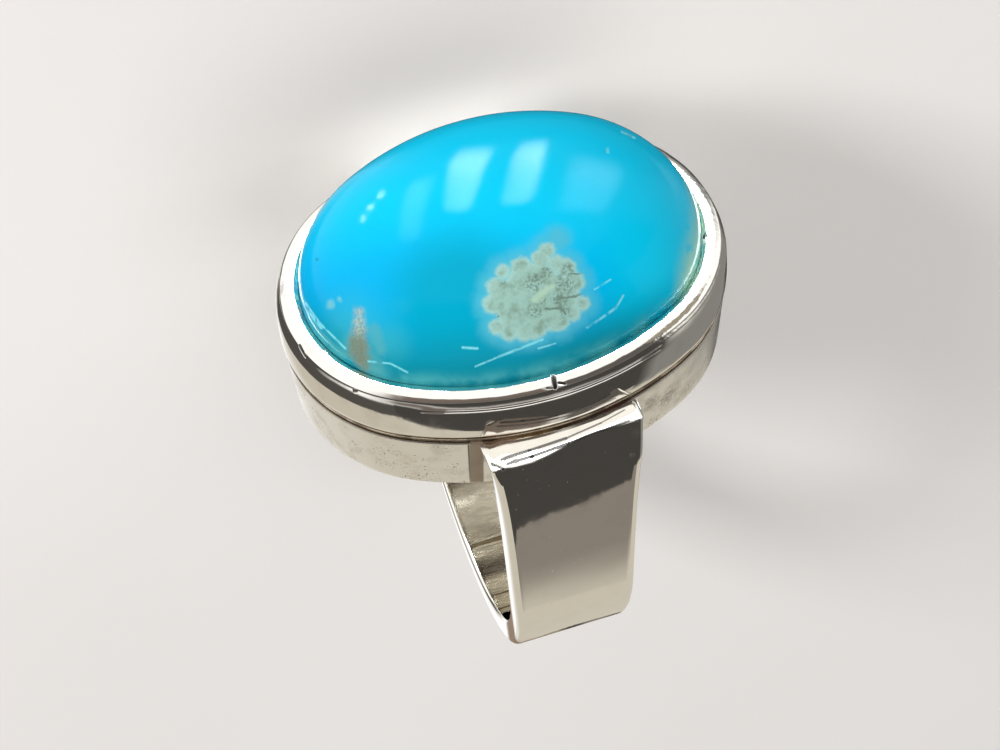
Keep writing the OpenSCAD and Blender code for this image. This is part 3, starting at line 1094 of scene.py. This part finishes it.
@dataclass
class Band:
    """The band: a flat strip bent round the finger, whose legs end in a bright ledge at the seam."""

    finger_radius: float = 9.0
    outer_radius: float = 10.48
    lean: float = 2.1
    width_back: float = 6.2
    width_top: float = 8.55
    flare: float = 0.9
    seam_z: float = 13.6
    outer_round: float = 0.36
    inner_round: float = 0.2
    # The ledge at the end of a leg: height at the groove and at its outer corner
    ledge_z: Point2 = (13.57, 13.4)
    ledge_start: float = 8.95
    # Where the ledge slopes down, and where its corner moves from the left place to the right one
    ledge_slope: Point2 = (9.3, 11.0)
    corner_move: Point2 = (-2.2, 1.6)
    # The outer corner's distance from the middle, at the left and at the right of a leg
    corner_y: Point2 = (10.93, 10.3)
    corner_round: float = 0.1
    # The height from which the right of a leg leans in to that corner
    bend_z: float = 11.0
    # The heights between which a leg is straight, and the points along that and along the round back
    leg_z: Point2 = (12.8, -0.33)
    leg_steps: int = 34
    arc_steps: int = 72
    # A small dent at the near leg's top corner: place along the finger, height and depth
    dimple: Point3 = (-3.66, 13.3, 0.2)
    # The blocks of solder behind the legs: heights, distances from the middle, and how far they stand back
    solder_z: Point2 = (9.66, 13.3)
    solder_y: Point2 = (8.45, 9.75)
    solder_inset: float = 0.23
    # The underside of the end of a leg, point for point
    tongue: tuple[Point2, ...] = (
        (8.95, 13.3), (9.0, 13.25), (9.1, 13.2), (9.2, 13.15), (9.3, 13.1), (9.4, 13.05), (9.44, 13.0),
        (9.46, 12.97), (9.465, 12.94), (9.465, 12.91), (9.465, 12.88), (9.464, 12.85), (9.463, 12.82),
        (9.462, 12.79), (9.461, 12.76), (9.46, 12.73))

    def half_width(self, z: float) -> float:
        """Half of the band's width at a height."""
        s = (z + self.outer_radius) / (self.seam_z + self.outer_radius)
        top, back = self.width_top - self.flare, self.width_back
        return back / 2 + (top - back) / 2 * s + self.flare / 2 * max(s, 0.0) ** 7

    def leg_y(self, radius: float, z: float) -> float:
        """Distance of a leg's face from the middle at a height."""
        tilt = math.radians(self.lean)
        return (radius + z * math.sin(tilt)) / math.cos(tilt)

    def corner(self, x: float) -> float:
        """Distance of the ledge's outer corner from the middle at a place along the finger."""
        high, low = self.corner_y
        return low + (high - low) * ramp(x, *reversed(self.corner_move))

    def ledge_height(self, y: float) -> float:
        """Height of the ledge at a distance from the middle."""
        return self.ledge_z[0] + (self.ledge_z[1] - self.ledge_z[0]) * ramp(y, *self.ledge_slope)

    def face_y(self, x: float, z: float) -> float:
        """Where the outer face of a leg lies, which bends in towards the ledge's corner.

        Args:
            x: place along the finger.
            z: height.

        Returns:
            Distance from the middle.
        """
        top = self.ledge_z[1] - self.corner_round
        share = min(max((z - self.bend_z) / (top - self.bend_z), 0.0), 1.0) ** 1.4
        straight, end = (self.leg_y(self.outer_radius, height) for height in (z, top))
        return straight - (end - self.corner(x)) * share

    def end_line(self, x: float) -> list[Point2]:
        """The outer line of the end of a leg.

        Args:
            x: place along the finger.

        Returns:
            Its points, from the groove outwards.
        """
        corner, small = self.corner(x), self.corner_round
        ground = [self.ledge_start + (corner - small - self.ledge_start) * k / 8 for k in range(9)]
        line = [(y, self.ledge_height(y)) for y in ground]
        top = line[-1][1]
        for a in (math.pi / 2 * k / 5 for k in range(1, 6)):
            line.append((corner - small * (1 - math.sin(a)), top - small * (1 - math.cos(a))))
        foot = line[-1][1]
        return line + [(self.face_y(x, z), z) for z in (foot - 0.15, foot - 0.3)]

    def half_line(self) -> list[tuple[Point2, Point2]]:
        """Outer and inner points of the near half, from the ledge down to the back of the band."""
        pairs = list(zip(self.end_line(0.0), self.tongue))
        radii, tilt = (self.outer_radius, self.finger_radius), math.radians(self.lean)
        for share in (i / self.leg_steps for i in range(1, self.leg_steps)):
            z = self.leg_z[0] + (self.leg_z[1] - self.leg_z[0]) * share
            outer, inner = (self.leg_y(radius, z) for radius in radii)
            pairs.append(((outer, z), (inner, z - 0.08 * (1 - share))))
        for i in range(self.arc_steps + 1):
            a = tilt + (math.pi / 2 - tilt) * i / self.arc_steps
            pairs.append(tuple((radius * math.cos(a), -radius * math.sin(a)) for radius in radii))
        return pairs

    def worn(self, x: float, y: float, z: float, on_ledge: bool) -> float:
        """How much wear takes off the band's outside.

        Args:
            x: place along the finger.
            y: place across it.
            z: height.
            on_ledge: whether that is the end of a leg.

        Returns:
            The depth.
        """
        depth = 0.0
        if on_ledge and abs(y) > self.ledge_slope[0]:
            depth += 0.012 * (1 + noise.noise(Vector((x * 0.9, 4.0 + abs(y) * 0.5, 0.0))))
        if y < 0:
            away = math.hypot((x - self.dimple[0]) / 0.42, (z - self.dimple[1]) / 0.34)
            depth += self.dimple[2] * math.exp(-away * away)
        return depth

    def make_shank(self) -> Thing:
        """The strip itself, with its four long edges rounded and its faces left a little wavy."""
        near = self.half_line()
        pairs = [((-o[0], o[1]), (-i[0], i[1])) for o, i in near] + [(o, i) for o, i in reversed(near[:-1])]
        count, ends = len(pairs), len(self.tongue)
        # Sideways share from edge to edge, and how far round the corner a column lies
        quarter = [math.pi / 2 * k / 7 for k in range(8)]
        columns = [(-1.0, a) for a in quarter] + [(-1.0 + 2.0 * k / 32, math.pi / 2) for k in range(1, 32)]
        columns += [(1.0, a) for a in reversed(quarter)]
        rings = []
        for side, a in columns:
            outer, inner = [], []
            place_x = side * (self.half_width(12.0) - 0.3)
            tip = self.end_line(place_x)
            for number, ((oy, oz), (iy, iz)) in enumerate(pairs):
                from_end = min(number, count - 1 - number)
                if from_end < ends:
                    ty, oz = tip[from_end]
                    oy = math.copysign(ty, oy)
                elif oz > self.bend_z - 0.1:
                    oy = math.copysign(self.face_y(place_x, oz), oy)
                across = Vector((iy - oy, iz - oz))
                reach = across.length * 0.45
                across.normalize()
                for line, y, z, sign, round_off in (
                        (outer, oy, oz, 1, self.outer_round), (inner, iy, iz, -1, self.inner_round)):
                    half = self.half_width(max(z, -self.outer_radius))
                    corner = round_off * (1 - math.cos(a)) if abs(side) == 1 else round_off
                    x = side * (half - corner)
                    depth = min(round_off * (1 - math.sin(a)), reach)
                    depth += 0.002 + 0.0015 * (1 + noise.noise(Vector((x * 0.4, y * 0.4, z * 0.4))))
                    if sign > 0:
                        depth += self.worn(x, y, z, oz > 13.0)
                    line.append((x, y + across.x * depth * sign, z + across.y * depth * sign))
            rings.append(outer + inner[::-1])
        faces = []
        for ring, turn in ((0, 1), (len(rings) - 1, -1)):
            for i in range(count - 1):
                first, last = ring * 2 * count + i, (ring + 1) * 2 * count - 1 - i
                faces.append((first, last, last - 1, first + 1)[::turn])
        return place_piece("shank", ring_mesh(rings, faces), POLISH.build(), 50)

    def make_solder(self) -> list[Thing]:
        """The two blocks of solder that fill the gap between a leg and the gallery."""
        pieces, finish = [], SOLDER.build()
        (low, high), (near, far) = self.solder_z, self.solder_y
        across = [near + (far - near) * j / 12 for j in range(13)]
        for sign, name in ((-1, "near_leg_solder"), (1, "far_leg_solder")):
            rings = []
            for z in (low + (high - low) * k / 26 for k in range(27)):
                ring = []
                for side, places in ((-1, across), (1, across[::-1])):
                    for y in places:
                        bump = 0.07 * noise.noise(Vector((side * 9.0, y * 3.1, z * 2.3 + sign)))
                        ring.append((side * (self.half_width(z) - self.solder_inset + bump), sign * y, z))
                rings.append(ring)
            pieces.append(place_piece(name, ring_mesh(rings), finish, 60))
        return pieces

    def build(self) -> list[Thing]:
        """Makes the strip and its solder."""
        return [self.make_shank(), *self.make_solder()]


@dataclass
class Cabochon:
    """The stone: a low girdle inside the bezel under a high oval dome."""

    finish: TurquoiseFinish
    girdle_inset: float = -1.0
    edge_inset: float = -1.36
    bottom_z: float = 14.08
    bottom_round: float = 0.2
    girdle_z: float = 15.0
    edge_z: float = 16.6
    dome_height: float = 6.59
    around: int = 288
    levels: int = 110

    def build(self) -> Thing:
        """Makes the stone, closed underneath, with its top point joined."""
        low, top, count = self.bottom_z, self.edge_z + self.dome_height, self.around
        girdle, edge = (OVAL.points(count, inset) for inset in (self.girdle_inset, self.edge_inset))
        sizes = [(0.02, low), (0.5, low), (0.97, low), (1, low + self.bottom_round), (1, self.girdle_z)]
        rings = [[(x * share, y * share, z) for x, y in girdle] for share, z in sizes]
        for a in (math.pi / 2 * j / self.levels for j in range(self.levels)):
            rings.append([(x * math.cos(a), y * math.cos(a), self.edge_z + self.dome_height * math.sin(a))
                          for x, y in edge])
        last, apex = (len(rings) - 1) * count, len(rings) * count
        closing = []
        for i in range(count):
            k = (i + 1) % count
            closing += [(last + i, last + k, apex), (k, i, apex + 1)]
        mesh = ring_mesh(rings, closing, [(0, 0, top), (0, 0, low)])
        stone = place_piece("turquoise_cabochon", mesh, self.finish.build(), 60, Node.STONE)
        # The stone sends no blue light to the floor, as in the photo
        stone.visible_diffuse = False
        return stone


# Studio


SKY_CENTRE = Vector((0, 0, 10))


@dataclass(frozen=True)
class SkyCard:
    """A glowing or dark card that only polished surfaces see, on a sphere round the ring.

    Places on the sphere are azimuth and elevation in the ring's frame, in degrees. Glows fade a card from
    corner to corner, and soft gives the share of it over which its left, right, low and high edges fade out.
    """

    name: str
    colour: str
    radius: float
    _: KW_ONLY
    strength: float = 1.0
    glows: Four = (1.0, 1.0, 1.0, 1.0)
    soft: Four = (0.0, 0.0, 0.0, 0.0)
    ragged: float = 0.0
    grain_size: float = 1.2
    steps: tuple[int, int] = (24, 12)

    def place(self, u: float, v: float) -> Vector:
        """Direction of a point of the card, by its shares to the right and up."""
        raise NotImplementedError

    def build(self) -> Thing:
        """Makes the card and keeps it out of the object."""
        mesh = bpy.data.meshes.new(self.name)
        wide, high = self.steps
        row, g = wide + 1, self.glows
        uvs = [(i / wide, j / high) for j in range(high + 1) for i in range(row)]
        faces = [(j * row + i, j * row + i + 1, (j + 1) * row + i + 1, (j + 1) * row + i)
                 for j in range(high) for i in range(wide)]
        mesh.from_pydata([SKY_CENTRE + self.place(u, v) * self.radius for u, v in uvs], [], faces)
        mesh.transform(POSE.matrix())
        layer = mesh.uv_layers.new(name="card")
        for loop in mesh.loops:
            layer.data[loop.index].uv = uvs[loop.vertex_index]
        glow = [(g[0] * (1 - u) + g[1] * u) * (1 - v) + (g[3] * (1 - u) + g[2] * u) * v for u, v in uvs]
        mesh.attributes.new("glow", "FLOAT", "POINT").data.foreach_set("value", glow)
        mesh.materials.append(self.light())
        card = put(self.name, mesh)
        card.visible_camera = card.visible_diffuse = card.visible_shadow = False
        card.visible_transmission = card.visible_volume_scatter = False
        return card

    def light(self) -> Material:
        """The card's glow, with its soft or ragged edges."""
        material = bpy.data.materials.new(self.name)
        material.use_nodes = True
        net = Net(material.node_tree)
        bright = net.add("Attribute", out="Fac", attribute_name="glow")
        light = net.add("Emission", paint(self.colour), net.mask(bright, self.strength))
        across, up, _ = net.add("SeparateXYZ", net.add("TexCoord", out="UV")).node.outputs
        if self.ragged > 0:
            jag = net.add("Math SUBTRACT", net.grain(net.object_place(), self.grain_size, 4.0, 61.0), 0.5)
            up = net.add("Math MULTIPLY_ADD", jag, self.ragged, up)
        left, right, low, high = self.soft
        sides = ((across, left, 0.0), (across, 1 - right, 1.0), (up, low, 0.0), (up, 1 - high, 1.0))
        parts = [side for side, width in zip(sides, self.soft) if width > 0]
        if parts:
            light = net.add("MixShader", net.mask(*parts), net.add("BsdfTransparent"), light)
        net.add("OutputMaterial", light)
        return material


@dataclass(frozen=True)
class SkyBelt(SkyCard):
    """A card between two azimuths and two elevations, which may differ at its right end."""

    azimuths: Point2 = (-180.0, 180.0)
    elevations: Point2 = (-90.0, 90.0)
    right_elevations: Point2 | None = None

    def place(self, u: float, v: float) -> Vector:
        """Direction of a point of the belt."""
        (a, b), (low, high) = self.azimuths, self.elevations
        low_end, high_end = self.right_elevations or self.elevations
        low, high = low + (low_end - low) * u, high + (high_end - high) * u
        return way(a + (b - a) * u, low + (high - low) * v)


@dataclass(frozen=True)
class SkyWindow(SkyCard):
    """A card with four free corners: low left, low right, high right, high left."""

    corners: tuple[Point2, Point2, Point2, Point2]

    def place(self, u: float, v: float) -> Vector:
        """Direction of a point of the window."""
        a, b, c, d = (way(*corner) for corner in self.corners)
        return ((a * (1 - u) + b * u) * (1 - v) + (d * (1 - u) + c * u) * v).normalized()


@dataclass
class Studio:
    """A plain pale floor, soft lamps, and a sky of cards for the polished silver to reflect."""

    floor_colour: str = "#F1EEEC"
    floor_grain: str = "#E9E5E2"
    floor_half: float = 1.5
    sky_colour: str = "#F7F5F2"
    sky_strength: float = 0.38
    dark: str = "#454341"
    # The three short bright dashes on the dome: name, azimuth and elevation, and the corners round each
    dashes: tuple[tuple[str, float, float], ...] = (
        ("dash_a", 202.3, 29.5), ("dash_b", 208.9, 30.0), ("dash_c", 214.9, 30.4))
    dash_corners: tuple[Point2, ...] = ((1.35, -0.9), (2.85, 3.1), (-1.35, 0.9), (-2.85, -3.1))

    def floor(self) -> Thing:
        """The floor, a smooth pale board with a faint grain."""
        skin = Skin("pale_floor", self.floor_colour, 0.8)
        skin.coat(self.floor_grain, skin.grain(skin.object_place(), 40.0, 3.0, 50.0))
        half = self.floor_half
        corners = [(-half, -half, 0), (half, -half, 0), (half, half, 0), (-half, half, 0)]
        mesh = bpy.data.meshes.new("floor")
        mesh.from_pydata(corners, [], [(0, 1, 2, 3)])
        mesh.materials.append(skin.finish(Specular_IOR_Level=0.2))
        board = put("floor", mesh)
        board.visible_glossy = False
        return board

    def sky(self) -> None:
        """Even soft light from all round."""
        world = bpy.data.worlds.new("studio_sky")
        bpy.context.scene.world = world
        world.use_nodes = True
        net = Net(world.node_tree)
        net.add("OutputWorld", net.add("Background", paint(self.sky_colour), self.sky_strength))

    def lamp(self, name: str, place: Point3, aim: Point3, size: float, radiance: float) -> None:
        """A soft square lamp that lights but isn't reflected.

        Args:
            name: the lamp's name.
            place: where it hangs, in row mm.
            aim: what it points at, in row mm.
            size: its side, in mm.
            radiance: how bright its face is.
        """
        data = bpy.data.lights.new(name, "AREA")
        data.shape = "SQUARE"
        data.size = size * MM
        data.energy = radiance * math.pi * (size * MM) ** 2
        lamp = put(name, data)
        lamp.location = Vector(place) * MM
        lamp.rotation_mode = "QUATERNION"
        lamp.rotation_quaternion = (Vector(aim) - Vector(place)).to_track_quat("-Z", "Y")
        lamp.visible_glossy = False

    def room(self) -> list[SkyCard]:
        """The room as the band and the bezel see it: bright above, dark round the near side, pale below."""
        dark = self.dark
        return [
            SkyBelt("room_white", "#FFFFFF", 128, elevations=(-12, 90), strength=1.15, soft=(0, 0, 0.1, 0)),
            SkyBelt("room_far", "#DCDAD5", 130, elevations=(-60, 0)),
            SkyBelt("far_dark", dark, 125.5, (118, 187), (-60, 12), soft=(0.25, 0.12, 0.05, 0.25)),
            SkyBelt("far_grey", "#929391", 126.2, (104, 192), (0, 40), soft=(0.3, 0.2, 0, 0.6)),
            SkyBelt("low_beige", "#CDC7B9", 129, elevations=(-90, -42), soft=(0, 0, 0, 0.08)),
            SkyBelt("low_pale", "#E6E3DD", 127, (-200, -70), (-76, -44), soft=(0.05, 0.5, 0.1, 0.1)),
            SkyBelt("low_white", "#FFFFFF", 126.5, (-205, -150), (-66, -40), strength=1.1,
                    soft=(0.2, 0.3, 0.1, 0.1)),
            SkyBelt("beige_left", "#C8C2B3", 126, (-150, -42), (-54, -33), soft=(0.3, 0.05, 0.1, 0.1)),
            SkyBelt("dark_left", "#514E4B", 125, (-178, -45), (-34, -6), (-43.5, -3),
                    soft=(0.2, 0.0, 0.05, 0.2), ragged=0.1, grain_size=6.0, steps=(48, 12)),
            SkyBelt("grey_right", "#868581", 126, (46, 142), (-52.5, -10), soft=(0.05, 0.25, 0.03, 0.3),
                    ragged=0.2, grain_size=12.0),
            SkyBelt("dark_front", dark, 124, (-16.5, 56), (-50.2, -3), soft=(0, 0.12, 0.01, 0.12),
                    ragged=0.02, grain_size=3.0),
            SkyBelt("dark_front_left", dark, 124, (-46, -16), (-43.2, -3), (-50.2, -3),
                    soft=(0, 0, 0.01, 0.12), ragged=0.02, grain_size=3.0),
            SkyBelt("beige_right", "#B5AD9E", 123, (30, 49), (-53, -50.6), (-53, -47.5),
                    soft=(0, 0.1, 0, 0.1)),
            SkyBelt("shade_left", "#7E726B", 122, (-68, 14), (-8, 47), glows=(0.8, 0.4, 1.0, 1.0),
                    soft=(0.35, 0.1, 0.12, 0.06), ragged=0.05, grain_size=5.0),
            SkyBelt("shade_middle", "#5F5B58", 121, (8, 50), (-8, 50), soft=(0.2, 0.1, 0.1, 0.1)),
            SkyBelt("shade_right", "#A0988A", 121.5, (44, 92), (20, 50), soft=(0.1, 0.3, 0.1, 0.1)),
            SkyWindow("leg_grey", "#8A837B", 120, ((2, -58.9), (28, -56.2), (28, -48), (2, -52)),
                      soft=(0.05, 0.05, 0.32, 0)),
            SkyWindow("leg_dark", dark, 118, ((2, -55.9), (28, -50.4), (28, -38), (2, -42)),
                      soft=(0.03, 0.03, 0.004, 0.1), ragged=0.045, grain_size=0.9)]

    def windows(self) -> list[SkyCard]:
        """The windows and the three short dashes that shine on the stone."""
        cards = [
            SkyWindow(name, colour, 116, corners, strength=strength, glows=glows, soft=soft)
            for name, colour, strength, glows, soft, corners in (
                ("window_a", "#F4FAFF", 31, (0.6, 1.0, 1.5, 0.9), (0.15, 0.15, 0.08, 0.4),
                 ((203.0, 65.0), (185.5, 74.9), (164.5, 27.6), (174.0, 19.9))),
                ("window_b", "#F4FAFF", 31, (0.6, 1.0, 1.5, 0.9), (0.15, 0.15, 0.08, 0.4),
                 ((154.0, 74.8), (122.8, 71.3), (151.8, 23.0), (160.5, 24.1))),
                ("window_c", "#DCEFFF", 17, (0.7, 0.5, 0.8, 1.0), (0.3, 0.3, 0.2, 0.4),
                 ((95.0, 71.0), (78.0, 50.0), (126.0, 19.5), (145.0, 33.5))),
                ("window_d", "#DCEFFF", 14, (0.6, 0.6, 1.0, 1.0), (0.3, 0.3, 0.3, 0.3),
                 ((244.9, 55.7), (250.7, 67.1), (182.1, 39.8), (190.4, 31.3))))]
        for name, azimuth, elevation in self.dashes:
            corners = tuple((azimuth + da, elevation + de) for da, de in self.dash_corners)
            cards.append(SkyWindow(
                name, "#FFFFFF", 116, corners, strength=48, soft=(0.25, 0.25, 0.25, 0.25), steps=(6, 6)))
        return cards

    def build(self) -> None:
        """Makes the floor, the sky, the lamps and the cards."""
        self.floor()
        self.sky()
        self.lamp("left", (310, -270, 182), (0, -8, 10), 110, 41.0)
        self.lamp("front_right", (-240, -360, 60), (0, -8, 10), 240, 2.0)
        self.lamp("overhead", (-60, 40, 480), (0, 0, 0), 420, 1.5)
        for card in self.room() + self.windows():
            card.build()
            LOG.info("card %s", card.name)


def main() -> None:
    """Builds the camera, the ring's sub-assemblies and the studio."""
    logging.basicConfig(level=logging.INFO, format="%(name)s %(message)s")
    bpy.context.scene.view_settings.view_transform = "Standard"
    VIEW.build()
    Band().build()
    Setting(WallTree()).build()
    Cabochon(TurquoiseFinish()).build()
    Studio().build()


if __name__ == "__main__":
    main()
